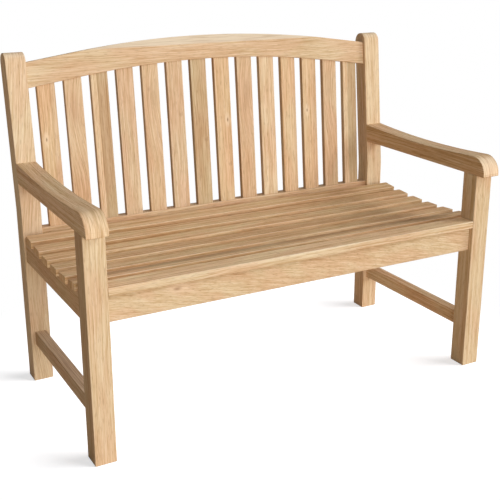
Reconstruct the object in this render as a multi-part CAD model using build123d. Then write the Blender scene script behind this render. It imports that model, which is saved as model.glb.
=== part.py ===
from build123d import *
from math import asin, atan2, cos, degrees, hypot, pi, radians, sin, sqrt, tan
import os

# Two-seat slatted garden bench in solid wood.
# Millimetres and degrees. +X is the bench's right seen from the front, +Y the back, +Z up.
# Depths below are measured from the front face of the front legs towards the back.

# Whole bench
BENCH_WIDTH = 1200.0  # across the outer faces of the legs
SIDE_SPAN = 464.0  # clear distance from front leg to back post
EDGE_RADIUS = 2.0  # eased long edges of the frame
FOOT_BEVEL = 1.5

# Legs and posts
LEG_WIDTH = 55.0  # along the bench, shared by legs, posts and arms
FRONT_LEG_DEPTH = 55.0
POST_DEPTH = 52.0
POST_HEIGHT = 925.0
POST_BEND_HEIGHT = 507.0
POST_BEND_RADIUS = 150.0
POST_RAKE = 6.1  # lean of the back, in degrees

# Arms
ARM_UNDERSIDE = 583.0
ARM_BACK_THICKNESS = 56.7  # where the line of the top would reach the middle of the post
ARM_DIP_THICKNESS = 44.0  # at the hollow half way along
ARM_FRONT_THICKNESS = 57.0  # where the line of the top would reach the nose
ARM_OVERHANG = 27.0  # in front of the leg
ARM_NOSE_FLAT = 4.5  # upright strip under the round of the nose
ARM_TOE_RADIUS = 3.0  # lower edge of that strip
ARM_EDGE_BEVEL = 1.2

# Side stretchers, centred on the leg
STRETCHER_THICKNESS = 30.0
STRETCHER_HEIGHT = 40.0
STRETCHER_UNDERSIDE = 111.0

# Seat frame
SEAT_RAIL_UNDERSIDE = 361.0
SIDE_RAIL_THICKNESS = 30.0
SIDE_RAIL_INSET = 5.5  # from the outer face of the leg
FRONT_RAIL_THICKNESS = 26.0  # centred on the front leg
BACK_RAIL_THICKNESS = 30.0  # both rails of the back, centred on the post
BACK_RAIL_TOP = 450.0
BEARER_THICKNESS = 32.0

# Seat slats: a level one in front, the others laid in a hollow that is an arc from front to back
SEAT_LOW_HEIGHT = 435.0
SEAT_LOW_DEPTH = 285.0
SEAT_HOLLOW_RADIUS = 1700.0
SEAT_SLAT_COUNT = 6  # behind the front slat
SEAT_SLAT_THICKNESS = 20.0
SEAT_SLAT_WIDTH = 46.0
SEAT_EDGE_RADIUS = 1.5  # long edges
SEAT_END_BEVEL = 0.6
FRONT_SLAT_WIDTH = 53.0
FRONT_SLAT_RISE = 15.4  # its top above the lowest place of the hollow
FRONT_SLAT_SETBACK = 0.5  # behind the front of the legs
FRONT_SLAT_END_GAP = 0.3
SEAT_BACK_GAP = 41.6  # rear slat to back seat rail

# Back
TOP_RAIL_MID_HEIGHT = 877.5  # underside half way along
TOP_RAIL_HEIGHT = 68.0
ARCH_RADIUS = 2857.0
ARCH_HALF_LENGTH = 400.0  # curved middle part, the ends run straight on
TOP_BEVEL_DROP = 24.0  # from the crown of the rail down to the bevel's front edge
BACK_SLAT_COUNT = 14
BACK_SLAT_WIDTH = 50.0
BACK_SLAT_THICKNESS = 16.0
BACK_SLAT_SETBACK = 5.0  # behind the front of the rails
BACK_SLAT_HOUSING = 12.0  # depth let into each rail

# Joints: blind mortises and tenons
TENON_THICKNESS = 10.0
TENON_LENGTH = 26.0
TENON_SHOULDER = 10.0
TENON_WALL = 5.0  # wood between two tenons that meet in one leg
BEARER_TENON_LENGTH = 12.0
STRETCHER_TENON_SHOULDER = 6.0
ARM_TENON_THICKNESS = 20.0
ARM_TENON_SHOULDER = 11.0
LEG_TENON_HEIGHT = 24.0
LEG_TENON_SHOULDER = 12.0
JOINT_CLEARANCE = 0.15
MORTISE_END_GAP = 1.0

# Concealed screws that hold the seat slats from below
SCREW_DIAMETER = 4.5
SCREW_BITE = 13.0  # into the slat
SCREW_WEB = 14.0  # wood under the slat that the screw clamps
SCREW_HEAD_DIAMETER = 9.0
SCREW_HEAD_HEIGHT = 3.0
SCREW_SOCKET_DIAMETER = 4.0
SCREW_SOCKET_DEPTH = 1.8
SCREW_TIP_LENGTH = 4.0
SCREW_TIP_DIAMETER = 1.2
SCREW_CLEARANCE = 0.1
COUNTERBORE_CLEARANCE = 1.0
FRONT_SLAT_SCREW_COUNT = 4
FRONT_SLAT_SCREW_MARGIN = 60.0  # from the legs to the end screws

# Places that follow from the sizes above
RAKE = radians(POST_RAKE)
OUTER_X = BENCH_WIDTH / 2
INNER_X = OUTER_X - LEG_WIDTH
LEG_MID_X = OUTER_X - LEG_WIDTH / 2
SIDE_RAIL_X = OUTER_X - SIDE_RAIL_INSET - SIDE_RAIL_THICKNESS / 2
FRONT_RAIL_Y = FRONT_LEG_DEPTH / 2
POST_FRONT_Y = FRONT_LEG_DEPTH + SIDE_SPAN
POST_BACK_Y = POST_FRONT_Y + POST_DEPTH
POST_MID_Y = POST_FRONT_Y + POST_DEPTH / 2
BACK_RAIL_FRONT_Y = POST_MID_Y - BACK_RAIL_THICKNESS / 2
BEND_STEP = POST_DEPTH / 2 * tan(RAKE / 2)
CROWN_RADIUS = POST_DEPTH / 2
CROWN_Z = POST_HEIGHT - CROWN_RADIUS
CROWN_Y = POST_MID_Y + (CROWN_Z - POST_BEND_HEIGHT) * tan(RAKE)
CENTRE_SHIFT = (ARM_OVERHANG - CROWN_Y - CROWN_RADIUS) / 2
SEAT_RAIL_TENON_Z = (
    SEAT_RAIL_UNDERSIDE + TENON_SHOULDER,
    SEAT_LOW_HEIGHT - SEAT_SLAT_THICKNESS - TENON_SHOULDER,
)
FRONT_SLAT_UNDERSIDE = SEAT_LOW_HEIGHT + FRONT_SLAT_RISE - SEAT_SLAT_THICKNESS
FRONT_SLAT_BACK_Y = FRONT_SLAT_SETBACK + FRONT_SLAT_WIDTH
SEAT_SLAT_PITCH = (BACK_RAIL_FRONT_Y - SEAT_BACK_GAP - FRONT_SLAT_BACK_Y) / SEAT_SLAT_COUNT
CROSS_TENON_LENGTH = SIDE_RAIL_X - TENON_THICKNESS / 2 - TENON_WALL - INNER_X
BACK_SLAT_GAP = (2 * INNER_X - BACK_SLAT_COUNT * BACK_SLAT_WIDTH) / (BACK_SLAT_COUNT + 1)
BACK_SLAT_PITCH = BACK_SLAT_WIDTH + BACK_SLAT_GAP
BACK_SLAT_X = [(n - (BACK_SLAT_COUNT - 1) / 2) * BACK_SLAT_PITCH for n in range(BACK_SLAT_COUNT)]

# The leaning plane of the posts: X along the bench, Y up the slope, Z to the front
BACK_PLANE = Plane(
    origin=(0, POST_MID_Y, POST_BEND_HEIGHT),
    x_dir=(1, 0, 0),
    z_dir=(0, -cos(RAKE), sin(RAKE)),
)

# Room round a tenon in its mortise, by the direction in which the tenon points
NO_ROOM = (0.0, 0.0, 0.0)
ROOM_X = (MORTISE_END_GAP, JOINT_CLEARANCE, JOINT_CLEARANCE)
ROOM_Y = (JOINT_CLEARANCE, MORTISE_END_GAP, JOINT_CLEARANCE)
ROOM_Z = (JOINT_CLEARANCE, JOINT_CLEARANCE, MORTISE_END_GAP)


# Helpers


def about(middle, size):
    """Pair of bounds about a middle."""
    return (middle - size / 2, middle + size / 2)


def block(x, y, z, room=NO_ROOM):
    """Block between three pairs of bounds, grown by the given room on both sides."""
    spans = (x, y, z)
    sizes = [high - low + 2 * extra for (low, high), extra in zip(spans, room)]
    middle = [(low + high) / 2 for low, high in spans]
    return Pos(*middle) * Box(*sizes)


def upright(radius, low, high):
    """Upright round bar or hole between two heights."""
    return Pos(0, 0, (low + high) / 2) * Cylinder(radius, high - low)


def profile(corners, thickness):
    """Plate of the given thickness about X = 0, from its side view's corners."""
    outline = make_face(Polyline(*corners, close=True))
    return extrude(Plane.YZ * outline, thickness / 2, both=True)


def mirrored(solid):
    """The same piece on the other side of the bench."""
    return mirror(solid, about=Plane.YZ)


def along(solid, axis):
    """Straight edges parallel to an axis."""
    return solid.edges().filter_by(axis)


def side_edges(solid, wanted):
    """Outline edges of a plate's two X faces where the wanted test holds."""
    outline = solid.faces().filter_by(Axis.X).edges()
    return outline.filter_by(lambda edge: wanted(edge.center()))


def with_foot(leg):
    """Bevel the edges round the foot of a leg."""
    return chamfer(leg.faces().sort_by(Axis.Z)[0].edges(), FOOT_BEVEL)


# Lines of the back


def post_face(z):
    """Depth of the leaning front face of the posts at a height."""
    return POST_FRONT_Y + (z - POST_BEND_HEIGHT - BEND_STEP) * tan(RAKE)


def arch_height(x):
    """Underside of the top rail, up the slope of the back from the bend."""
    mid = (TOP_RAIL_MID_HEIGHT - POST_BEND_HEIGHT) / cos(RAKE)
    curved = min(abs(x), ARCH_HALF_LENGTH)
    fall = ARCH_RADIUS - sqrt(ARCH_RADIUS**2 - curved**2)
    slope = ARCH_HALF_LENGTH / sqrt(ARCH_RADIUS**2 - ARCH_HALF_LENGTH**2)
    return mid - fall - (abs(x) - curved) * slope


def is_under_arch(point):
    """Whether a point of the top rail's outline lies on its underside."""
    return point.Y - arch_height(point.X) < EDGE_RADIUS


def arch_line(lift):
    """Arched line from the left post to the right one, lifted by a height."""
    stations = (-INNER_X, -ARCH_HALF_LENGTH, 0, ARCH_HALF_LENGTH, INNER_X)
    points = [(x, arch_height(x) + lift) for x in stations]
    return Line(*points[:2]) + ThreePointArc(*points[1:4]) + Line(*points[3:])


# Lines of the seat


def hollow_slat(number):
    """Underside of a slat in the hollow: middle depth, middle height, tilt and width.

    The slat is a chord of the hollow: its two top edges lie on the arc.
    """
    middle = FRONT_SLAT_BACK_Y + number * SEAT_SLAT_PITCH - SEAT_SLAT_WIDTH / 2
    tilt = asin((middle - SEAT_LOW_DEPTH) / SEAT_HOLLOW_RADIUS)
    reach = sqrt(SEAT_HOLLOW_RADIUS**2 - (SEAT_SLAT_WIDTH / 2) ** 2) + SEAT_SLAT_THICKNESS
    depth = SEAT_LOW_DEPTH + reach * sin(tilt)
    height = SEAT_LOW_HEIGHT + SEAT_HOLLOW_RADIUS - reach * cos(tilt)
    return depth, height, tilt, SEAT_SLAT_WIDTH


def bedding_height(y):
    """Height of the arc through the underside edges of the slats in the hollow."""
    reach = sqrt(SEAT_HOLLOW_RADIUS**2 - (SEAT_SLAT_WIDTH / 2) ** 2) + SEAT_SLAT_THICKNESS
    radius = hypot(reach, SEAT_SLAT_WIDTH / 2)
    return SEAT_LOW_HEIGHT + SEAT_HOLLOW_RADIUS - sqrt(radius**2 - (y - SEAT_LOW_DEPTH) ** 2)


def underside_edges(depth, height, tilt, width):
    """Front and back edge of a slat's underside."""
    across = width / 2 * cos(tilt)
    rise = width / 2 * sin(tilt)
    return [(depth - across, height - rise), (depth + across, height + rise)]


FRONT_SLAT = (FRONT_SLAT_SETBACK + FRONT_SLAT_WIDTH / 2, FRONT_SLAT_UNDERSIDE, 0.0, FRONT_SLAT_WIDTH)
HOLLOW_SLATS = [hollow_slat(number) for number in range(1, SEAT_SLAT_COUNT + 1)]


# Tenons: each gives the tenon itself, or its mortise when it is given room


def leg_tenon(room=NO_ROOM):
    """On top of the right front leg, up into the arm."""
    return block(
        about(LEG_MID_X, LEG_WIDTH - 2 * LEG_TENON_SHOULDER),
        about(FRONT_LEG_DEPTH / 2, FRONT_LEG_DEPTH - 2 * LEG_TENON_SHOULDER),
        (ARM_UNDERSIDE, ARM_UNDERSIDE + LEG_TENON_HEIGHT),
        room,
    )


def arm_tenon(room=NO_ROOM):
    """On the back end of the right arm, rooted behind its slanting shoulder, into the post."""
    low = ARM_UNDERSIDE + ARM_TENON_SHOULDER
    high = ARM_UNDERSIDE + ARM_BACK_THICKNESS - ARM_TENON_SHOULDER
    depth = (post_face(low) - ARM_TENON_SHOULDER, post_face(low) + TENON_LENGTH)
    return block(about(LEG_MID_X, ARM_TENON_THICKNESS), depth, (low, high), room)


def side_tenons(middle_x, height, room):
    """On both ends of a right side member, into the front leg and the post."""
    across = about(middle_x, TENON_THICKNESS)
    front = (FRONT_LEG_DEPTH - TENON_LENGTH, FRONT_LEG_DEPTH)
    back = (POST_FRONT_Y, POST_FRONT_Y + TENON_LENGTH)
    return block(across, front, height, room), block(across, back, height, room)


def side_rail_tenons(room=NO_ROOM):
    return side_tenons(SIDE_RAIL_X, SEAT_RAIL_TENON_Z, room)


def stretcher_tenons(room=NO_ROOM):
    low = STRETCHER_UNDERSIDE + STRETCHER_TENON_SHOULDER
    high = STRETCHER_UNDERSIDE + STRETCHER_HEIGHT - STRETCHER_TENON_SHOULDER
    return side_tenons(LEG_MID_X, (low, high), room)


def cross_tenon(middle_y, room=NO_ROOM):
    """On the right end of the front or back seat rail, into the leg or post."""
    across = (INNER_X, INNER_X + CROSS_TENON_LENGTH)
    return block(across, about(middle_y, TENON_THICKNESS), SEAT_RAIL_TENON_Z, room)


def bearer_tenons(room=NO_ROOM):
    """On both ends of the middle bearer, into the front and back seat rails."""
    across = about(0, TENON_THICKNESS)
    front_end = FRONT_RAIL_Y + FRONT_RAIL_THICKNESS / 2
    front = (front_end - BEARER_TENON_LENGTH, front_end)
    back = (BACK_RAIL_FRONT_Y, BACK_RAIL_FRONT_Y + BEARER_TENON_LENGTH)
    return [block(across, depth, SEAT_RAIL_TENON_Z, room) for depth in (front, back)]


def top_rail_tenon(room=NO_ROOM):
    """On the right end of the top rail, into the post, in its leaning plane."""
    end = arch_height(INNER_X)
    height = (end + TENON_SHOULDER, end + TOP_RAIL_HEIGHT - TENON_SHOULDER)
    across = (INNER_X, INNER_X + TENON_LENGTH)
    return BACK_PLANE.location * block(across, height, about(0, TENON_THICKNESS), room)


# Screws


def screw_places():
    """Where each screw enters the underside of its slat, by the member that it goes through."""
    places = {"side": [], "bearer": [], "front": []}
    for depth, height, _, _ in HOLLOW_SLATS:
        places["side"].append((SIDE_RAIL_X, depth, height))
        places["bearer"].append((0, depth, height))
    reach = INNER_X - FRONT_SLAT_SCREW_MARGIN
    for number in range(FRONT_SLAT_SCREW_COUNT):
        x = reach * (2 * number / (FRONT_SLAT_SCREW_COUNT - 1) - 1)
        places["front"].append((x, FRONT_RAIL_Y, FRONT_SLAT_UNDERSIDE))
    return places


SCREWS = screw_places()


def screw():
    """Socket screw that enters its slat at the origin."""
    radius = SCREW_DIAMETER / 2
    tip_start = SCREW_BITE - SCREW_TIP_LENGTH
    bottom = -SCREW_WEB - SCREW_HEAD_HEIGHT
    shank = upright(radius, -SCREW_WEB, tip_start)
    tip = Cone(radius, SCREW_TIP_DIAMETER / 2, SCREW_TIP_LENGTH)
    head = upright(SCREW_HEAD_DIAMETER / 2, bottom, -SCREW_WEB)
    hexagon = RegularPolygon(SCREW_SOCKET_DIAMETER / 2, 6, major_radius=False)
    socket = extrude(Pos(0, 0, bottom) * hexagon, SCREW_SOCKET_DEPTH)
    return shank + Pos(0, 0, tip_start + SCREW_TIP_LENGTH / 2) * tip + head - socket


def screw_holes(places):
    """Holes for screws: clear of the shank, with a deep counterbore from below."""
    radius = SCREW_DIAMETER / 2 + SCREW_CLEARANCE
    bore = SCREW_HEAD_DIAMETER / 2 + COUNTERBORE_CLEARANCE
    holes = []
    for x, y, z in places:
        bottom = SEAT_RAIL_UNDERSIDE - z - SCREW_HEAD_HEIGHT
        hole = upright(radius, bottom, SCREW_BITE + MORTISE_END_GAP)
        holes.append(Pos(x, y, z) * (hole + upright(bore, bottom, -SCREW_WEB)))
    return holes


# Legs, posts and arms, made for the right side


def front_leg():
    leg = block((INNER_X, OUTER_X), (0, FRONT_LEG_DEPTH), (0, ARM_UNDERSIDE))
    leg = with_foot(fillet(along(leg, Axis.Z), EDGE_RADIUS)) + leg_tenon()
    leg -= [side_rail_tenons(ROOM_Y)[0], stretcher_tenons(ROOM_Y)[0]]
    return leg - cross_tenon(FRONT_RAIL_Y, ROOM_X)


def back_post():
    """Post with a bend above the seat and a round crown."""
    across = (CROWN_RADIUS * cos(RAKE), -CROWN_RADIUS * sin(RAKE))
    front_end = (CROWN_Y - across[0], CROWN_Z - across[1])
    back_end = (CROWN_Y + across[0], CROWN_Z + across[1])
    crown = (CROWN_Y + CROWN_RADIUS * sin(RAKE), CROWN_Z + CROWN_RADIUS * cos(RAKE))
    front_bend = (POST_FRONT_Y, POST_BEND_HEIGHT + BEND_STEP)
    back_bend = (POST_BACK_Y, POST_BEND_HEIGHT - BEND_STEP)
    straight = Polyline(back_end, back_bend, (POST_BACK_Y, 0), (POST_FRONT_Y, 0), front_bend, front_end)
    outline = make_face(straight + ThreePointArc(front_end, crown, back_end))
    bends = outline.vertices().group_by(Axis.Y)[1:3]
    outline = fillet([bend[0] for bend in bends], POST_BEND_RADIUS)
    post = Pos(INNER_X, 0, 0) * extrude(Plane.YZ * outline, LEG_WIDTH)
    post = with_foot(fillet(side_edges(post, lambda middle: middle.Z > FOOT_BEVEL), EDGE_RADIUS))
    post -= [side_rail_tenons(ROOM_Y)[1], stretcher_tenons(ROOM_Y)[1], arm_tenon(ROOM_Y)]
    return post - [cross_tenon(POST_MID_Y, ROOM_X), top_rail_tenon(ROOM_X)]


def arm():
    """Arm with a hollow top and a round nose, cut to the lean of the post."""
    back = post_face(ARM_UNDERSIDE) + POST_DEPTH / 2
    back_high = (back, ARM_UNDERSIDE + ARM_BACK_THICKNESS)
    back_low = (back, ARM_UNDERSIDE)
    front_low = (-ARM_OVERHANG, ARM_UNDERSIDE)
    front_high = (-ARM_OVERHANG, ARM_UNDERSIDE + ARM_FRONT_THICKNESS)
    dip = ((back - ARM_OVERHANG) / 2, ARM_UNDERSIDE + ARM_DIP_THICKNESS)
    top = ThreePointArc(front_high, dip, back_high)
    outline = make_face(Polyline(back_high, back_low, front_low, front_high) + top)
    toe, nose = outline.vertices().group_by(Axis.X)[0].sort_by(Axis.Y)
    heading = top % 0
    fall = atan2(-heading.Y, heading.X)
    nose_radius = (ARM_FRONT_THICKNESS - ARM_NOSE_FLAT) * tan(pi / 4 - fall / 2)
    outline = fillet(nose, nose_radius)
    outline = fillet(outline.vertices().sort_by_distance(toe)[0], ARM_TOE_RADIUS)
    solid = Pos(INNER_X, 0, 0) * extrude(Plane.YZ * outline, LEG_WIDTH)
    solid = chamfer(side_edges(solid, lambda middle: middle.Y < POST_FRONT_Y), ARM_EDGE_BEVEL)
    behind = CROWN_Y + POST_DEPTH
    post_side = [(post_face(0), 0), (post_face(POST_HEIGHT), POST_HEIGHT), (behind, POST_HEIGHT), (behind, 0)]
    return solid - profile(post_side, BENCH_WIDTH) + arm_tenon() - leg_tenon(ROOM_Z)


# Members between the legs


def side_stretcher():
    height = (STRETCHER_UNDERSIDE, STRETCHER_UNDERSIDE + STRETCHER_HEIGHT)
    bar = block(about(LEG_MID_X, STRETCHER_THICKNESS), (FRONT_LEG_DEPTH, POST_FRONT_Y), height)
    return fillet(along(bar, Axis.Y), EDGE_RADIUS) + [*stretcher_tenons()]


def bedded_member(front, back, slats, thickness):
    """Seat member between the front and back (depth, height) ends of its top.

    The top has a flat under each slat.
    """
    edges = [point for slat in slats for point in underside_edges(*slat)]
    top = [front, *[point for point in edges if front[0] < point[0] < back[0]], back]
    base = [(back[0], SEAT_RAIL_UNDERSIDE), (front[0], SEAT_RAIL_UNDERSIDE)]
    member = profile([*top, *base], thickness)
    return fillet(along(member, Axis.Y).group_by(Axis.Z)[0], EDGE_RADIUS)


def side_seat_rail():
    ends = [(y, bedding_height(y)) for y in (FRONT_LEG_DEPTH, POST_FRONT_Y)]
    rail = Pos(SIDE_RAIL_X, 0, 0) * bedded_member(*ends, HOLLOW_SLATS, SIDE_RAIL_THICKNESS)
    return rail + [*side_rail_tenons()] - screw_holes(SCREWS["side"])


def middle_seat_bearer():
    front = FRONT_RAIL_Y + FRONT_RAIL_THICKNESS / 2
    front_end = (front, FRONT_SLAT_UNDERSIDE)
    back_end = (BACK_RAIL_FRONT_Y, bedding_height(BACK_RAIL_FRONT_Y))
    bearer = bedded_member(front_end, back_end, [FRONT_SLAT, *HOLLOW_SLATS], BEARER_THICKNESS)
    return bearer + bearer_tenons() - screw_holes(SCREWS["bearer"])


def front_seat_rail():
    depth = about(FRONT_RAIL_Y, FRONT_RAIL_THICKNESS)
    rail = block((-INNER_X, INNER_X), depth, (SEAT_RAIL_UNDERSIDE, FRONT_SLAT_UNDERSIDE))
    rail = fillet(along(rail, Axis.X).group_by(Axis.Z)[0], EDGE_RADIUS)
    rail += [cross_tenon(FRONT_RAIL_Y), mirrored(cross_tenon(FRONT_RAIL_Y))]
    return rail - [bearer_tenons(ROOM_Y)[0], *screw_holes(SCREWS["front"])]


def back_seat_rail():
    depth = about(POST_MID_Y, BACK_RAIL_THICKNESS)
    rail = block((-INNER_X, INNER_X), depth, (SEAT_RAIL_UNDERSIDE, BACK_RAIL_TOP))
    rail = fillet(along(rail, Axis.X), EDGE_RADIUS)
    rail += [cross_tenon(POST_MID_Y), mirrored(cross_tenon(POST_MID_Y))]
    return rail - [bearer_tenons(ROOM_Y)[1], *[back_slat(x, ROOM_Y) for x in BACK_SLAT_X]]


def top_rail():
    """Arched rail with a flat bevel along the front of its crown."""
    low_line = arch_line(0)
    high_line = arch_line(TOP_RAIL_HEIGHT)
    ends = [Line(low_line @ place, high_line @ place) for place in (0, 1)]
    half = BACK_RAIL_THICKNESS / 2
    rail = extrude(make_face(low_line + high_line + ends), half, both=True)
    outline = rail.faces().filter_by(Axis.Z).edges()
    rail = fillet(outline.filter_by(lambda edge: is_under_arch(edge.center())), EDGE_RADIUS)
    crown = arch_height(0) + TOP_RAIL_HEIGHT
    above = crown + TOP_BEVEL_DROP
    cut = [(crown - TOP_BEVEL_DROP, half), (crown, -half), (above, -half), (above, half)]
    rail = BACK_PLANE.location * (rail - profile(cut, 2 * INNER_X))
    rail += [top_rail_tenon(), mirrored(top_rail_tenon())]
    return rail - [back_slat(x, ROOM_Y) for x in BACK_SLAT_X]


# Slats


def back_slat(x, room=NO_ROOM):
    """Upright slat with its ends let into both rails, or its housings when it is given room."""
    forward = BACK_RAIL_THICKNESS / 2 - BACK_SLAT_SETBACK - BACK_SLAT_THICKNESS / 2
    foot = Vector(0, POST_MID_Y - forward, BACK_RAIL_TOP)
    head = BACK_PLANE.from_local_coords(Vector(0, arch_height(INNER_X), forward))
    lean = atan2(head.Y - foot.Y, head.Z - foot.Z)
    rail_height = BACK_PLANE.from_local_coords(Vector(0, arch_height(x), 0)).Z
    length = (rail_height - BACK_RAIL_TOP) / cos(lean)
    height = (-BACK_SLAT_HOUSING, length + BACK_SLAT_HOUSING)
    slat = block(about(x, BACK_SLAT_WIDTH), height, about(0, BACK_SLAT_THICKNESS), room)
    slat = fillet(along(slat, Axis.Y), EDGE_RADIUS)
    return Pos(foot) * Rot(90 - degrees(lean), 0, 0) * slat


def seat_slat(place, length):
    depth, height, tilt, width = place
    slat = Pos(0, 0, SEAT_SLAT_THICKNESS / 2) * Box(length, width, SEAT_SLAT_THICKNESS)
    slat = fillet(along(slat, Axis.X), SEAT_EDGE_RADIUS)
    slat = chamfer(slat.faces().filter_by(Axis.X).edges(), SEAT_END_BEVEL)
    return Pos(0, depth, height) * Rot(degrees(tilt), 0, 0) * slat


# All pieces by name

pieces = {
    "front_seat_rail": front_seat_rail(),
    "middle_seat_bearer": middle_seat_bearer(),
    "back_seat_rail": back_seat_rail(),
    "top_rail": top_rail(),
}
pairs = {
    "front_leg": front_leg(),
    "back_post": back_post(),
    "arm": arm(),
    "side_stretcher": side_stretcher(),
    "side_seat_rail": side_seat_rail(),
}
for name, solid in pairs.items():
    pieces[name + "_right"] = solid
    pieces[name + "_left"] = mirrored(solid)
for number, x in enumerate(BACK_SLAT_X, start=1):
    pieces[f"back_slat_{number:02d}"] = back_slat(x)

side_screws = SCREWS["side"] + [(-x, y, z) for x, y, z in SCREWS["side"]]
slat_screws = side_screws + SCREWS["bearer"]
front_slat = seat_slat(FRONT_SLAT, 2 * (INNER_X - FRONT_SLAT_END_GAP))
pieces["seat_slat_1"] = front_slat - screw_holes(SCREWS["front"])
for number, place in enumerate(HOLLOW_SLATS, start=2):
    pieces[f"seat_slat_{number}"] = seat_slat(place, BENCH_WIDTH) - screw_holes(slat_screws)
all_screws = slat_screws + SCREWS["front"]
pieces["seat_slat_screws"] = Compound([Pos(*place) * screw().solid() for place in all_screws])

os.makedirs("parts", exist_ok=True)
for name, solid in pieces.items():
    export_step(Pos(0, CENTRE_SHIFT, 0) * solid, f"parts/{name}.step")
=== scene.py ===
import math

import bpy
from mathutils import Matrix, Vector


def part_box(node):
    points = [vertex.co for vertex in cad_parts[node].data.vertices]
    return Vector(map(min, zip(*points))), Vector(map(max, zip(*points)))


# A slatted garden bench in light natural wood, in metres. +X is the bench's right, -Y its front.
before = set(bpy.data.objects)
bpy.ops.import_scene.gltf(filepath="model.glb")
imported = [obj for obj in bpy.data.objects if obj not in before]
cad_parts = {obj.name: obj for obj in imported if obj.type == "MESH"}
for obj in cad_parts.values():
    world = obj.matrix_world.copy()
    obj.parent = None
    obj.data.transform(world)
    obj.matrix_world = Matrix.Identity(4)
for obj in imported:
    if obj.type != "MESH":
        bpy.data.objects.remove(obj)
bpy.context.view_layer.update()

# Camera, at the photograph's viewing angle
CAMERA_PLACE = (-1.19588, -2.17515, 1.21351)
CAMERA_TURN = math.radians(29.21)  # from straight at the bench's front towards its right
CAMERA_DROP = math.radians(17.86)  # below the horizon
CAMERA_ROLL = math.radians(0.13)
CAMERA_LENS = 66.14  # millimetres, on a 36 mm sensor
CAMERA_SHIFT = (-0.0233, -0.0311)

# Far lamps: the way to each from the bench, how wide it looks, and the brightness that it alone gives a
# white surface that faces it. Only the floor lamp lights the floor, and only the legs and posts shade it.
FAR_LAMPS = {
    "key_light": {"way": (0.72, -0.41, 0.56), "width": math.radians(30), "level": 0.54},
    "back_light": {"way": (0.05, 0.95, 0.28), "width": math.radians(70), "level": 0.30},
    "floor_light": {"way": (0.80, -0.40, 0.75), "width": math.radians(44), "level": 1.35},
}
LEGS = ("front_leg_left", "front_leg_right", "back_post_left", "back_post_right")

# Round lamp in front, with its brightness on a white surface in the middle of the bench
FRONT_LAMP_PLACE = Vector((-0.5, -8.2, 1.3))
FRONT_LAMP_TARGET = Vector((0.0, 0.0, 0.45))
FRONT_LAMP_RADIUS = 3.6
FRONT_LAMP_LEVEL = 0.84

# Dim light from all round
AMBIENT_LEVEL = 0.07
AMBIENT_COLOUR = (1.0, 0.82, 0.64, 1.0)

# Floor: what it bounces, and how it looks near the bench and in the white distance
FLOOR_HALF = 60.0
FLOOR_DROP = 0.0002  # under the feet
FLOOR_BOUNCE = (0.54, 0.42, 0.30, 1.0)
FLOOR_SEEN = (0.60, 0.60, 0.61, 1.0)
FLOOR_LIFT = 0.685  # brings the open floor to white
FLOOR_LIFT_COLOUR = (0.975, 0.995, 1.015, 1.0)  # evens out the warm light in the shadows
FLOOR_NEAR = 0.70  # distance from the middle at which the floor starts to fade to white
FLOOR_FAR = 0.95  # and at which it is all white
WHITE = (1.0, 1.0, 1.0, 1.0)

# Wood colours, and tones that multiply them on single boards
DARK_WOOD = (0.560, 0.345, 0.175, 1.0)
MIDDLE_WOOD = (0.718, 0.504, 0.306, 1.0)
PALE_WOOD = (0.818, 0.628, 0.424, 1.0)
# Pale wood: the halo round a knot, and the painted highlight on surfaces that face up and to the front
PALE_HALO_AND_HIGHLIGHT_WOOD = (0.930, 0.770, 0.575, 1.0)
KNOT_WOOD = (0.260, 0.120, 0.050, 1.0)
ROSY_TINT = (1.00, 0.955, 0.935, 1.0)
STRAW_TINT = (1.00, 1.030, 1.010, 1.0)
# Painted shade on a board's edges and sides
PAINTED_EDGE_SHADE_TINT = (0.62, 0.55, 0.48, 1.0)
TONES = {
    "honey": (1.00, 1.00, 1.00, 1.0),
    "pale": (1.04, 1.09, 1.16, 1.0),
    "ash": (0.96, 0.99, 1.06, 1.0),
    "olive": (0.77, 0.78, 0.77, 1.0),
    "drab": (0.83, 0.86, 0.86, 1.0),
    "rosy": (0.94, 0.92, 0.935, 1.0),
    "umber": (0.84, 0.80, 0.77, 1.0),
    # painted shade: dark brown for the left stretcher's shaded outer side
    "painted_shade_brown": (0.70, 0.66, 0.63, 1.0),
    "sand": (1.24, 1.29, 1.32, 1.0),
    "fawn": (1.10, 1.10, 1.06, 1.0),
    "cream": (0.925, 0.97, 1.01, 1.0),
    "tawny": (1.01, 0.995, 0.95, 1.0),
    "blond": (1.03, 1.12, 1.22, 1.0),
    "wheat": (0.965, 1.01, 1.07, 1.0),
}

# Noises of the grain: features in a metre along the board, across its face and into it, then the noise's
# detail and roughness
GRAINS = {
    "wander": ((2.2, 7.0, 5.0), 2.0, 0.55),
    "veins": ((8.0, 420.0, 18.0), 2.0, 0.60),
    "fibres": ((24.0, 760.0, 60.0), 1.0, 0.55),
    "pores": ((45.0, 480.0, 60.0), 1.0, 0.55),
    "lines": ((0.9, 150.0, 8.0), 3.0, 0.65),
    "patches": ((4.5, 15.0, 10.0), 2.0, 0.55),
    "bends": ((1.6, 10.0, 10.0), 1.0, 0.55),
    "clouds": ((5.0, 16.0, 12.0), 1.0, 0.55),
}
NOISE_MIDDLE = 0.5
SEED_STEP = 3.7  # from one board's grain to the next one's
WANDER_WIDTH = 0.014  # how far the grain strays across the face
EDGE_SHIFT = 0.37  # from the grain of a face to that of the board's edges
EDGE_COSINE = 0.7  # above this a surface faces across the board and is an edge

# Growth rings on the faces and growth layers on the ends
RINGS_PER_METRE = 90.0
RING_BEND = 0.09  # how far the rings stray across the face
LAYERS_PER_METRE = 260.0
BAND_DETAIL = 2.0
BAND_ROUGHNESS = 0.6

# Weights of the noises in the wood's shade, and the shades of its colours. Each board has its own weights
# for lines and rings.
VEIN_WEIGHT = 1.00
FIBRE_WEIGHT = 0.55
PATCH_WEIGHT = 0.20
WOOD_RAMP = ((0.24, DARK_WOOD), (0.50, MIDDLE_WOOD), (0.76, PALE_WOOD))

# The line between a board's two tones: how far it strays, and half its soft width
SIDE_WANDER = 0.008
SIDE_SOFTNESS = 0.0012

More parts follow.
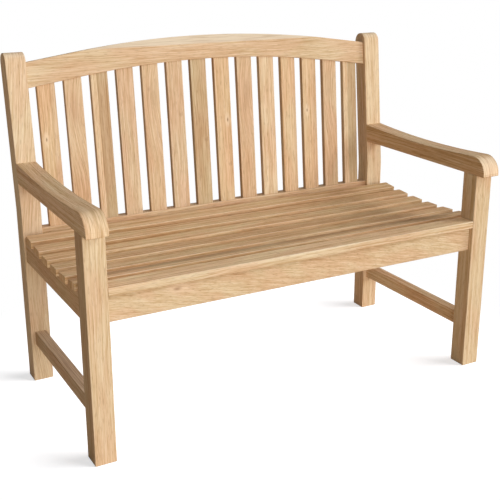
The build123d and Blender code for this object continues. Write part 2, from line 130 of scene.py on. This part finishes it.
# A mark is a knot in a pale halo, or a soft brown patch. It is long with the grain and goes right through
# the board.
MARK_SCALE = (0.4, 1.0, 0.0)
KNOT_RAGGEDNESS = 1.3
HALO_STRENGTH = 0.5

# Fades: the low and high value, and what comes out there where that isn't 0 and 1. Those of the bow, the
# halo and the knot are in radii of the mark, and those of the ends are cosines.
PORE_FADE = (0.57, 0.71)
CLOUD_FADE = (0.38, 0.62)
BOW_FADE = (0.0, 4.0, 1.0, 0.0)
HALO_FADE = (1.5, 4.0, 1.0, 0.0)
KNOT_FADE = (0.7, 1.9, 1.0, 0.0)
HIGHLIGHT_FADE = (0.25, 0.75, 0.4, 1.6)
END_FADE = (0.97, 0.995)
LAYER_FADE = (0.5, 0.75, 0.0, 0.5)
ROUGHNESS_FADE = (0.3, 0.7, 0.56, 0.68)

# Surface of the wood
PORE_STRENGTH = 0.28  # how dark the pores are
OPEN_ROUGHNESS = 0.2  # added on pores and ends
FIBRE_HEIGHT = 0.6  # of a pore's depth
BUMP_STRENGTH = 0.5
BUMP_DEPTH = 0.0003
WOOD_GLOSS = 0.02
HANDLED_GLOSS = 0.04  # arms and stretchers, smooth from use
END_SHADE = 0.25  # how dark the ends are

# Painted highlight: pale wood painted on surfaces that face a given way, up and to the front, or straight
# up on the left stretcher's top: (way that the surface faces, cosines to it at which the highlight starts
# and is full, strength)
EDGE_HIGHLIGHT = ((0.0, -0.55, 0.835), 0.88, 1.0, 0.35)
SEAT_HIGHLIGHT = ((0.0, -0.55, 0.835), 0.91, 0.97, 1.00)
NOSE_HIGHLIGHT = ((0.0, -0.85, 0.527), 0.70, 0.90, 0.10)
PALE_NOSE_HIGHLIGHT = ((0.0, -0.85, 0.527), 0.70, 0.90, 0.45)
BEVEL_HIGHLIGHT = ((0.0, -0.55, 0.835), 0.85, 1.0, 0.95)
TOP_HIGHLIGHT = ((0.0, 0.0, 1.0), 0.90, 1.0, 0.60)

# A board with one tone, whose second one would start off the board, and one with no mark
NO_SIDE_EDGE = 1.0
NO_MARK = (9.0, 9.0, 0.001, 0.0)

# Steel of the screws: turning marks in a metre each way, and colours and roughness by the marks' noise
STEEL_MARKS = (300.0, 300.0, 4000.0)
STEEL_DETAIL = 2.0
STEEL_RAMP = ((0.3, (0.42, 0.42, 0.43, 1.0)), (0.7, (0.60, 0.60, 0.60, 1.0)))
STEEL_FADE = (0.3, 0.7, 0.25, 0.45)

# Axes of a board: along the grain, across its face and through its thickness. The back posts lean above
# their bend, and the back slats lean with them.
POST_BEND = 0.507  # above the ground
POST_RAKE = math.radians(6.1)  # to the back
LEAN = Vector((0.0, math.sin(POST_RAKE), math.cos(POST_RAKE)))
X, Y, Z = (Vector(axis) for axis in ((1, 0, 0), (0, 1, 0), (0, 0, 1)))


def board_axes(along, across):
    return along, across, along.cross(across)


UPRIGHT = board_axes(Z, X)
LEANING = board_axes(LEAN, X)
CROSSWISE = board_axes(X, Z)
CROSSWISE_FLAT = board_axes(X, Y)
LENGTHWISE = board_axes(Y, Z)
LENGTHWISE_FLAT = board_axes(Y, X)


class Tree:
    """A shader tree to which each call adds one node, linked or set."""

    def __init__(self, tree):
        self.tree = tree

    def node(self, kind, inputs, **settings):
        made = self.tree.nodes.new("ShaderNode" + kind)
        for name, value in settings.items():
            setattr(made, name, value)
        for name, value in inputs.items():
            self.feed(made.inputs[name], value)
        return made

    def feed(self, socket, value):
        if isinstance(value, bpy.types.NodeSocket):
            self.tree.links.new(value, socket)
        else:
            socket.default_value = value

    def math(self, operation, first, second=0.0):
        return self.node("Math", {0: first, 1: second}, operation=operation).outputs[0]

    def add(self, first, second):
        return self.math("ADD", first, second)

    def subtract(self, first, second):
        return self.math("SUBTRACT", first, second)

    def multiply(self, first, second):
        return self.math("MULTIPLY", first, second)

    def vector(self, operation, first, second):
        return self.node("VectorMath", {0: first, 1: second}, operation=operation).outputs[0]

    def dot(self, first, second):
        return self.node("VectorMath", {0: first, 1: second}, operation="DOT_PRODUCT").outputs["Value"]

    def length(self, vector):
        return self.node("VectorMath", {0: vector}, operation="LENGTH").outputs["Value"]

    def split(self, vector):
        return self.node("SeparateXYZ", {0: vector}).outputs

    def join(self, *parts):
        return self.node("CombineXYZ", dict(enumerate(parts))).outputs[0]

    def noise(self, place, detail, roughness=0.5):
        inputs = {"Vector": place, "Scale": 1.0, "Detail": detail, "Roughness": roughness}
        return self.node("TexNoise", inputs).outputs[0]

    def bands(self, distance, per_metre):
        inputs = {"W": distance, "Scale": per_metre, "Detail": BAND_DETAIL, "Roughness": BAND_ROUGHNESS}
        return self.node("TexNoise", inputs, noise_dimensions="1D").outputs[0]

    def fade(self, value, low, high, start=0.0, end=1.0):
        """From start at the low value to end at the high one, smoothly."""
        inputs = {0: value, 1: low, 2: high, 3: start, 4: end}
        return self.node("MapRange", inputs, interpolation_type="SMOOTHSTEP").outputs[0]

    def mix(self, share, first, second, blend="MIX"):
        inputs = {0: share, 6: first, 7: second}
        return self.node("Mix", inputs, data_type="RGBA", blend_type=blend).outputs[2]

    def ramp(self, value, stops):
        made = self.node("ValToRGB", {0: value})
        elements = made.color_ramp.elements
        while len(elements) < len(stops):
            elements.new(0.5)
        for element, (position, colour) in zip(elements, stops):
            element.position = position
            element.color = colour
        return made.outputs[0]


def new_material(name):
    """Material with the usual shader, and the tree to which its nodes are added."""
    material = bpy.data.materials.new(name)
    material.use_nodes = True
    return material, Tree(material.node_tree)


# Teak


class TeakGroup:
    """Node group that colours a board by its own axes: grain, pores, figure, a mark, painted edge shade
    and a painted highlight.
    """

    INPUTS = {
        "Place": "Vector",
        "Facing": "Vector",
        "Normal": "Vector",
        "Seed": "Float",
        "Slope": "Float",
        "Shortness": "Float",
        "Lines": "Float",
        "Figure": "Float",
        "Tone": "Color",
        "Side tone": "Color",
        "Side edge": "Float",
        # painted shade on the edges
        "Painted edge shade": "Float",
        "Mark": "Vector",
        "Mark radius": "Float",
        "Mark strength": "Float",
        # painted highlight
        "Painted highlight way": "Vector",
        "Painted highlight start": "Float",
        "Painted highlight full": "Float",
        "Painted highlight": "Float",
        "End shade": "Float",
    }
    OUTPUTS = {"Color": "Color", "Roughness": "Float", "Height": "Float"}

    def __init__(self):
        self.group = bpy.data.node_groups.new("teak_grain", "ShaderNodeTree")
        for sockets, way in ((self.INPUTS, "INPUT"), (self.OUTPUTS, "OUTPUT")):
            for name, kind in sockets.items():
                self.group.interface.new_socket(name, in_out=way, socket_type="NodeSocket" + kind)
        self.tree = Tree(self.group)
        self.given = self.group.nodes.new("NodeGroupInput").outputs
        self.along, self.across, self.through = self.tree.split(self.given["Place"])
        self.on_end, self.on_edge = self.kind_of_surface()
        self.near_mark = self.distance_to_mark()
        self.over, self.into = self.place_on_face()
        self.wander = self.grain("wander")
        self.over = self.tree.add(self.over, self.tree.multiply(self.wander, WANDER_WIDTH))
        self.veins = self.grain("veins")
        self.fibres = self.grain("fibres")
        self.pores = self.tree.fade(self.grain("pores"), *PORE_FADE)
        colour = self.with_marks(self.toned(self.plain_wood()))
        colour = self.with_end_grain(self.with_painted_highlight(colour))
        self.put_out(colour)

    def kind_of_surface(self):
        """1 on the board's ends, and 1 on its edges."""
        tree = self.tree
        endwise, edgewise, _ = tree.split(self.given["Facing"])
        on_end = tree.fade(tree.math("ABSOLUTE", endwise), *END_FADE)
        on_edge = tree.math("GREATER_THAN", tree.math("ABSOLUTE", edgewise), EDGE_COSINE)
        return on_end, on_edge

    def distance_to_mark(self):
        """Distance to the middle of the mark, in radii of the mark."""
        gap = self.tree.vector("SUBTRACT", self.given["Place"], self.given["Mark"])
        reach = self.tree.vector("MULTIPLY", gap, MARK_SCALE)
        return self.tree.math("DIVIDE", self.tree.length(reach), self.given["Mark radius"])

    def place_on_face(self):
        """Distances across the face and into it. The grain bows round the mark and runs on over edges."""
        tree = self.tree
        turned = tree.multiply(self.on_edge, tree.subtract(self.through, self.across))
        over = tree.add(tree.add(self.across, turned), tree.multiply(self.on_edge, EDGE_SHIFT))
        into = tree.subtract(self.through, turned)
        over = tree.add(over, tree.multiply(self.along, self.given["Slope"]))
        bow = tree.multiply(tree.fade(self.near_mark, *BOW_FADE), self.given["Mark radius"])
        return tree.add(over, bow), into

    def grain(self, name):
        """One of the grain's noises. A board's shortness makes its features shorter."""
        tree = self.tree
        (lengthwise, crosswise, deep), detail, roughness = GRAINS[name]
        along = tree.multiply(tree.multiply(self.along, self.given["Shortness"]), lengthwise)
        along = tree.add(along, self.given["Seed"])
        place = tree.join(along, tree.multiply(self.over, crosswise), tree.multiply(self.into, deep))
        return tree.noise(place, detail, roughness)

    def plain_wood(self):
        """Long lines, growth rings, veins, fibres and broad patches of paler and darker wood."""
        tree = self.tree
        bend = tree.multiply(self.grain("bends"), RING_BEND)
        ring_place = tree.add(tree.add(self.over, bend), self.given["Seed"])
        shade = NOISE_MIDDLE
        for part, weight in (
            (self.grain("lines"), self.given["Lines"]),
            (tree.bands(ring_place, RINGS_PER_METRE), self.given["Figure"]),
            (self.veins, VEIN_WEIGHT),
            (self.fibres, FIBRE_WEIGHT),
            (self.grain("patches"), PATCH_WEIGHT),
        ):
            shade = tree.add(tree.multiply(tree.subtract(part, NOISE_MIDDLE), weight), shade)
        return tree.ramp(shade, WOOD_RAMP)

    def toned(self, colour):
        """Rosy and straw-coloured clouds, the board's one or two tones, and painted shade on its edges.
        """
        tree = self.tree
        clouds = tree.fade(self.grain("clouds"), *CLOUD_FADE)
        colour = tree.mix(1.0, colour, tree.mix(clouds, ROSY_TINT, STRAW_TINT), "MULTIPLY")
        stray = tree.multiply(tree.subtract(self.wander, NOISE_MIDDLE), SIDE_WANDER)
        beyond = tree.subtract(tree.add(self.across, stray), self.given["Side edge"])
        beyond = tree.fade(beyond, -SIDE_SOFTNESS, SIDE_SOFTNESS)
        tone = tree.mix(beyond, self.given["Tone"], self.given["Side tone"])
        colour = tree.mix(1.0, colour, tone, "MULTIPLY")
        shaded = tree.multiply(self.on_edge, self.given["Painted edge shade"])
        return tree.mix(shaded, colour, PAINTED_EDGE_SHADE_TINT, "MULTIPLY")

    def with_marks(self, colour):
        """Pores and the mark, which is a soft brown patch where it is large and weak."""
        tree = self.tree
        colour = tree.mix(tree.multiply(self.pores, PORE_STRENGTH), colour, KNOT_WOOD)
        halo = tree.multiply(tree.fade(self.near_mark, *HALO_FADE), self.given["Mark strength"])
        colour = tree.mix(tree.multiply(halo, HALO_STRENGTH), colour, PALE_HALO_AND_HIGHLIGHT_WOOD)
        ragged = tree.add(self.near_mark, tree.multiply(self.veins, KNOT_RAGGEDNESS))
        knot = tree.multiply(tree.fade(ragged, *KNOT_FADE), self.given["Mark strength"])
        return tree.mix(knot, colour, KNOT_WOOD)

    def with_painted_highlight(self, colour):
        """Painted highlight: pale wood on surfaces that face its way, with the grain still showing."""
        tree = self.tree
        turned = tree.dot(self.given["Normal"], self.given["Painted highlight way"])
        highlighted = tree.fade(turned, self.given["Painted highlight start"], self.given["Painted highlight full"])
        highlighted = tree.multiply(highlighted, self.given["Painted highlight"])
        highlighted = tree.multiply(highlighted, tree.fade(self.veins, *HIGHLIGHT_FADE))
        return tree.mix(highlighted, colour, PALE_HALO_AND_HIGHLIGHT_WOOD)

    def with_end_grain(self, colour):
        """Growth layers on the ends, which are a little darker."""
        tree = self.tree
        layers = tree.bands(tree.add(self.through, self.given["Seed"]), LAYERS_PER_METRE)
        shade = tree.add(self.given["End shade"], tree.fade(layers, *LAYER_FADE))
        return tree.mix(tree.multiply(self.on_end, shade), colour, DARK_WOOD)

    def put_out(self, colour):
        tree = self.tree
        rough = tree.fade(self.fibres, *ROUGHNESS_FADE)
        opened = tree.math("MAXIMUM", self.pores, self.on_end)
        rough = tree.add(rough, tree.multiply(opened, OPEN_ROUGHNESS))
        height = tree.subtract(tree.multiply(self.fibres, FIBRE_HEIGHT), self.pores)
        result = self.group.nodes.new("NodeGroupOutput").inputs
        for name, value in (("Color", colour), ("Roughness", rough), ("Height", height)):
            tree.feed(result[name], value)


TEAK = TeakGroup().group


def straightened(tree, place):
    """Place on a post with its leaning upper part turned upright, so that the grain follows the bend."""
    x, y, z = tree.split(place)
    above = tree.math("MAXIMUM", tree.subtract(z, POST_BEND), 0.0)
    return tree.join(x, tree.subtract(y, tree.multiply(above, math.tan(POST_RAKE))), z)


def board_coordinates(tree, name, axes, bent):
    """Place and facing by the board's own axes, from its middle, and the plain normal."""
    low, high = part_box(name)
    turn = Matrix(axes)
    coordinates = tree.node("TexCoord", {}).outputs
    place = coordinates["Object"]
    if bent:
        place = straightened(tree, place)
    shift = turn @ (-(low + high) / 2)
    board = tree.node("Mapping", {"Vector": place, "Location": shift, "Rotation": turn.to_euler()})
    facing = tree.node(
        "Mapping",
        {"Vector": coordinates["Normal"], "Rotation": turn.to_euler()},
        vector_type="NORMAL",
    )
    return {"Place": board.outputs[0], "Facing": facing.outputs[0], "Normal": coordinates["Normal"]}


def teak(
    name,
    number,
    axes,
    tone="honey",
    side=None,
    mark=None,
    lines=0.6,
    figure=0.15,
    slope=0.0,
    shortness=1.0,
    # a painted highlight, and painted shade on the edges
    painted_highlight=EDGE_HIGHLIGHT,
    painted_edge_shade=0.15,
    end_shade=END_SHADE,
    gloss=WOOD_GLOSS,
    bent=False,
):
    """Material of one board. A side is (tone, place across), a mark (along, across, radius, strength)."""
    material, tree = new_material("teak_" + name)
    side_tone, side_edge = side or (tone, NO_SIDE_EDGE)
    mark_along, mark_across, mark_radius, mark_strength = mark or NO_MARK
    # painted highlight
    painted_highlight_way, painted_highlight_start, painted_highlight_full, painted_highlight_strength = painted_highlight
    inputs = {
        **board_coordinates(tree, name, axes, bent),
        "Seed": SEED_STEP * number,
        "Slope": slope,
        "Shortness": shortness,
        "Lines": lines,
        "Figure": figure,
        "Tone": TONES[tone],
        "Side tone": TONES[side_tone],
        "Side edge": side_edge,
        # painted shade on the edges
        "Painted edge shade": painted_edge_shade,
        "Mark": (mark_along, mark_across, 0.0),
        "Mark radius": mark_radius,
        "Mark strength": mark_strength,
        # painted highlight
        "Painted highlight way": painted_highlight_way,
        "Painted highlight start": painted_highlight_start,
        "Painted highlight full": painted_highlight_full,
        "Painted highlight": painted_highlight_strength,
        "End shade": end_shade,
    }
    grain = tree.node("Group", inputs, node_tree=TEAK).outputs
    bump = {"Height": grain["Height"], "Strength": BUMP_STRENGTH, "Distance": BUMP_DEPTH}
    shader = material.node_tree.nodes["Principled BSDF"]
    shader.inputs["Specular IOR Level"].default_value = gloss
    tree.feed(shader.inputs["Base Color"], grain["Color"])
    tree.feed(shader.inputs["Roughness"], grain["Roughness"])
    tree.feed(shader.inputs["Normal"], tree.node("Bump", bump).outputs[0])
    return material


def steel():
    """Plain steel with fine turning marks, for the screws."""
    material, tree = new_material("screw_steel")
    place = tree.node("TexCoord", {}).outputs["Object"]
    marks = tree.noise(tree.vector("MULTIPLY", place, STEEL_MARKS), STEEL_DETAIL)
    shader = material.node_tree.nodes["Principled BSDF"]
    shader.inputs["Metallic"].default_value = 1.0
    tree.feed(shader.inputs["Base Color"], tree.ramp(marks, STEEL_RAMP))
    tree.feed(shader.inputs["Roughness"], tree.fade(marks, *STEEL_FADE))
    return material


# Boards. Places of sides and marks are measured from the board's middle.

# Painted edge shade darkens a board's sides, most on the shaded outer sides of the left leg, post and arm
ARM = {"axes": LENGTHWISE_FLAT, "lines": 1.4, "end_shade": 0.0, "gloss": HANDLED_GLOSS}
SIDE_BAR = {"axes": LENGTHWISE, "lines": 0.9}
STRETCHER = {**SIDE_BAR, "gloss": HANDLED_GLOSS}
BOARDS = {
    "front_leg_left": {"axes": UPRIGHT, "tone": "cream", "painted_edge_shade": 0.65},
    "front_leg_right": {"axes": UPRIGHT, "tone": "cream", "painted_edge_shade": 0.1},
    "back_post_left": {
        "axes": UPRIGHT,
        "bent": True,
        "tone": "blond",
        "painted_edge_shade": 0.5,
        # the mark is painted shade: a weak brown patch low on the post, under the seat
        "mark": (-0.22, 0.0, 0.09, 0.15),
    },
    "back_post_right": {"axes": UPRIGHT, "bent": True, "tone": "pale", "painted_edge_shade": 0.3},
    # painted highlights on the arms' noses, and painted shade on their sides
    "arm_left": {**ARM, "painted_highlight": NOSE_HIGHLIGHT, "painted_edge_shade": 0.3},
    "arm_right": {**ARM, "painted_highlight": PALE_NOSE_HIGHLIGHT, "painted_edge_shade": 0.35},
    # a darker tone paints shade on its outer side, and the painted highlight pales its top
    "side_stretcher_left": {**STRETCHER, "tone": "painted_shade_brown", "painted_highlight": TOP_HIGHLIGHT, "painted_edge_shade": 0.0},
    "side_stretcher_right": STRETCHER,
    # a darker tone paints shade on its outer side
    "side_seat_rail_left": {**SIDE_BAR, "tone": "umber"},
    "side_seat_rail_right": SIDE_BAR,
    "front_seat_rail": {
        "axes": CROSSWISE,
        "tone": "cream",
        "lines": 0.3,
        "slope": 0.20,
        "shortness": 2.2,
        # the side is painted shadow: a drab strip along the rail's top, under the front seat slat
        "side": ("drab", 0.022),
        "mark": (-0.3666, 0.017, 0.005, 0.55),
    },
    "middle_seat_bearer": SIDE_BAR,
    "back_seat_rail": {"axes": CROSSWISE, "tone": "rosy"},
    "top_rail": {
        "axes": CROSSWISE,
        "tone": "wheat",
        "lines": 0.4,
        # painted highlight on the bevel
        "painted_highlight": BEVEL_HIGHLIGHT,
        "mark": (0.09, 0.05, 0.003, 0.6),
    },
}

# Back slats in order: their tones, knots and brown patches come round again after the eleventh
BACK_SLATS = 14
# painted shade darkens the slats' sides
SLAT = {"axes": LEANING, "painted_edge_shade": 0.6}
KNOT_RADIUS = 0.0028
PATCH_RADIUS = 0.022
SLAT_LOOKS = (
    {"side": ("rosy", 0.009), "mark": (0.045, -0.011, KNOT_RADIUS, 0.8)},
    {"tone": "rosy", "mark": (0.11, 0.0, PATCH_RADIUS, 0.16)},
    {"tone": "pale", "side": ("olive", -0.008)},
    {"tone": "ash"},
    {"tone": "rosy", "mark": (0.12, 0.004, PATCH_RADIUS, 0.16)},
    {"tone": "ash"},
    {"tone": "drab"},
    {"tone": "honey", "mark": (0.03, 0.012, KNOT_RADIUS, 0.8)},
    {"tone": "rosy", "mark": (0.11, 0.006, PATCH_RADIUS, 0.2)},
    {"tone": "pale"},
    {"tone": "honey", "side": ("rosy", 0.016)},
)
for number in range(BACK_SLATS):
    BOARDS[f"back_slat_{number + 1:02d}"] = {**SLAT, **SLAT_LOOKS[number % len(SLAT_LOOKS)]}

# Seat slats from the front: their tones and dark streaks
# painted shade darkens the seat slats' front and back faces, and a painted highlight paints their front
# edges pale
SEAT_SLAT = {"axes": CROSSWISE_FLAT, "lines": 1.5, "figure": 0.4, "painted_highlight": SEAT_HIGHLIGHT, "painted_edge_shade": 0.3}
SEAT_LOOKS = (
    {"tone": "cream", "side": ("sand", -0.0255), "painted_edge_shade": 0.0},
    {"tone": "fawn", "side": ("umber", 0.0)},
    {"tone": "fawn"},
    {"tone": "tawny"},
    {"tone": "fawn"},
    {"tone": "tawny"},
    {"tone": "tawny"},
)
for number, looks in enumerate(SEAT_LOOKS, start=1):
    BOARDS[f"seat_slat_{number}"] = {**SEAT_SLAT, **looks}

for number, (name, looks) in enumerate(BOARDS.items(), start=1):
    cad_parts[name].material_slots[0].material = teak(name, number, **looks)
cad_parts["seat_slat_screws"].material_slots[0].material = steel()


# Floor, background and lights


def is_seen(tree):
    """1 for a ray from the camera, and for one that a gloss or glass sends on."""
    rays = tree.node("LightPath", {}).outputs
    straight = tree.math("MAXIMUM", rays["Is Camera Ray"], rays["Is Glossy Ray"])
    return tree.math("MAXIMUM", straight, rays["Is Transmission Ray"])


def add_object(name, data):
    made = bpy.data.objects.new(name, data)
    bpy.context.scene.collection.objects.link(made)
    return made


def floor_material():
    """Floor that shows the bench's shadow, goes white further off, and bounces plain light."""
    material, tree = new_material("floor")
    material.node_tree.nodes.clear()
    bounce = tree.node("BsdfDiffuse", {"Color": FLOOR_BOUNCE})
    shadowed = tree.node("BsdfDiffuse", {"Color": FLOOR_SEEN})
    lift = tree.node("Emission", {"Color": FLOOR_LIFT_COLOUR, "Strength": FLOOR_LIFT})
    near = tree.node("AddShader", {0: shadowed.outputs[0], 1: lift.outputs[0]})
    far = tree.node("Emission", {"Color": WHITE, "Strength": 1.0})
    distance = tree.length(tree.node("TexCoord", {}).outputs["Object"])
    share = tree.fade(distance, FLOOR_NEAR, FLOOR_FAR)
    seen = tree.node("MixShader", {0: share, 1: near.outputs[0], 2: far.outputs[0]})
    mixed = tree.node("MixShader", {0: is_seen(tree), 1: bounce.outputs[0], 2: seen.outputs[0]})
    tree.node("OutputMaterial", {"Surface": mixed.outputs[0]})
    return material


def add_floor():
    """Square floor just under the feet."""
    around = ((-1, -1), (1, -1), (1, 1), (-1, 1))
    corners = [(x * FLOOR_HALF, y * FLOOR_HALF, -FLOOR_DROP) for x, y in around]
    mesh = bpy.data.meshes.new("floor")
    mesh.from_pydata(corners, [], [(0, 1, 2, 3)])
    mesh.materials.append(floor_material())
    floor = add_object("floor", mesh)
    return floor


def add_world():
    """White where it is seen, and a plain dim light all round."""
    world = bpy.data.worlds.new("studio")
    world.use_nodes = True
    world.node_tree.nodes.clear()
    tree = Tree(world.node_tree)
    dim = tree.node("Background", {"Color": AMBIENT_COLOUR, "Strength": AMBIENT_LEVEL})
    white = tree.node("Background", {"Color": WHITE, "Strength": 1.0})
    mixed = tree.node("MixShader", {0: is_seen(tree), 1: dim.outputs[0], 2: white.outputs[0]})
    tree.node("OutputWorld", {"Surface": mixed.outputs[0]})
    bpy.context.scene.world = world


def add_far_lamp(name, way, width, level):
    """Far lamp that shines evenly on the whole bench."""
    light = bpy.data.lights.new(name, "SUN")
    light.angle = width
    light.energy = level * math.pi
    lamp = add_object(name, light)
    lamp.rotation_euler = Vector(way).to_track_quat("Z", "Y").to_euler()
    return lamp


def add_front_lamp():
    """Round soft lamp that faces the bench."""
    way = FRONT_LAMP_PLACE - FRONT_LAMP_TARGET
    light = bpy.data.lights.new("front_light", "AREA")
    light.shape = "DISK"
    light.size = 2 * FRONT_LAMP_RADIUS
    light.energy = FRONT_LAMP_LEVEL * math.pi**2 * (way.length_squared + FRONT_LAMP_RADIUS**2)
    lamp = add_object("front_light", light)
    lamp.location = FRONT_LAMP_PLACE
    lamp.rotation_euler = way.to_track_quat("Z", "Y").to_euler()
    return lamp


def linked(name, objects, state):
    """Collection of the objects that a lamp takes in or leaves out."""
    collection = bpy.data.collections.new(name)
    for item in objects:
        collection.objects.link(item)
    for entry in collection.collection_objects:
        entry.light_linking.link_state = state
    return collection


def add_lamps(floor):
    """All lamps: the floor lamp lights the floor alone, and the others leave it out."""
    lamps = {name: add_far_lamp(name, **values) for name, values in FAR_LAMPS.items()}
    lamps["front_light"] = add_front_lamp()
    floor_lamp = lamps.pop("floor_light")
    bench_alone = linked("bench_alone", [floor], "EXCLUDE")
    for lamp in lamps.values():
        lamp.light_linking.receiver_collection = bench_alone
    legs = [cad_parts[name] for name in LEGS]
    floor_lamp.light_linking.receiver_collection = linked("floor_alone", [floor], "INCLUDE")
    floor_lamp.light_linking.blocker_collection = linked("legs_alone", legs, "INCLUDE")


def add_camera():
    """Camera that is level and looks along +Y before it is dropped, turned and rolled."""
    data = bpy.data.cameras.new("camera")
    data.lens = CAMERA_LENS
    data.shift_x, data.shift_y = CAMERA_SHIFT
    camera = add_object("camera", data)
    turn = Matrix.Rotation(-CAMERA_TURN, 4, "Z") @ Matrix.Rotation(math.pi / 2 - CAMERA_DROP, 4, "X")
    turn = turn @ Matrix.Rotation(CAMERA_ROLL, 4, "Z")
    camera.matrix_world = Matrix.Translation(CAMERA_PLACE) @ turn
    bpy.context.scene.camera = camera


add_lamps(add_floor())
add_world()
add_camera()
bpy.context.scene.view_settings.view_transform = "Standard"
